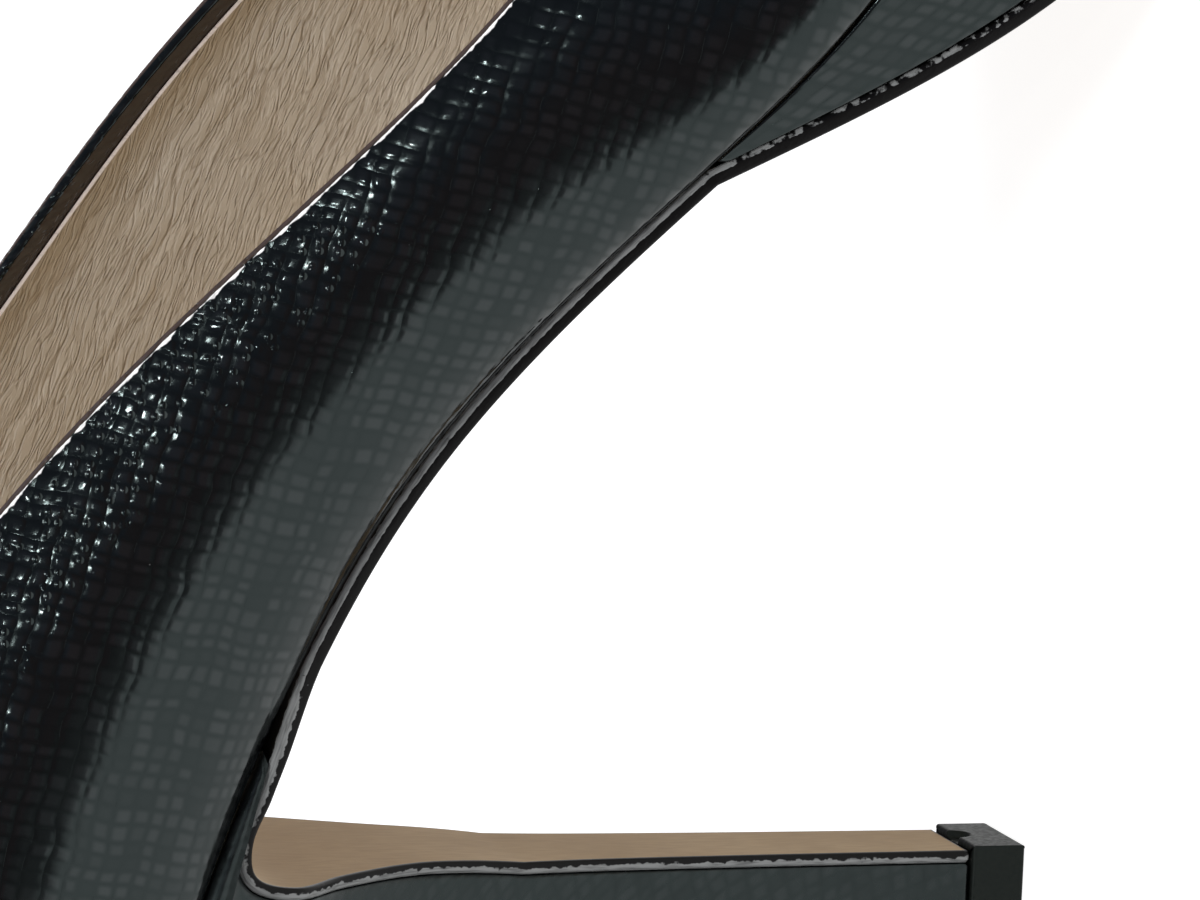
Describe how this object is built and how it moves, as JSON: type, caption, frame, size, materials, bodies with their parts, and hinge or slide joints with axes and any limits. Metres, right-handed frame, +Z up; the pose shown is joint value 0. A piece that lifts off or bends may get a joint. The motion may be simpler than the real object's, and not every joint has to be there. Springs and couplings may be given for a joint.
{
  "type": "pump shoe",
  "caption": "Right-foot covered platform pump with a slim high heel, closed rounded toe, low-cut topline, thin leather sole running down the heel breast and a hard top piece.",
  "frame": {"origin": "on the ground, under the middle of the heel's top piece, whose flat underside the origin lies on", "axes": "+X from heel to toe, +Y to the inner (medial) side of the foot, +Z up; the shoe stands on its top piece and the flat of its forefoot"},
  "size_m": [0.2357, 0.0752, 0.1468],
  "materials": {
    "patent_leather": "black patent leather with an embossed woven pattern",
    "lining_leather": "smooth beige lining leather with fine wrinkles",
    "sole_leather": "smooth beige-brown sole leather with a black painted edge",
    "heel_cover": "dark fine-grained cover leather",
    "top_piece": "hard black top piece"
  },
  "bodies": {
    "root": {"upper": "patent_leather", "insole": "lining_leather", "platform": "patent_leather", "outsole": "sole_leather", "heel": "heel_cover", "heel_tip": "top_piece"}
  },
  "joints": []
}
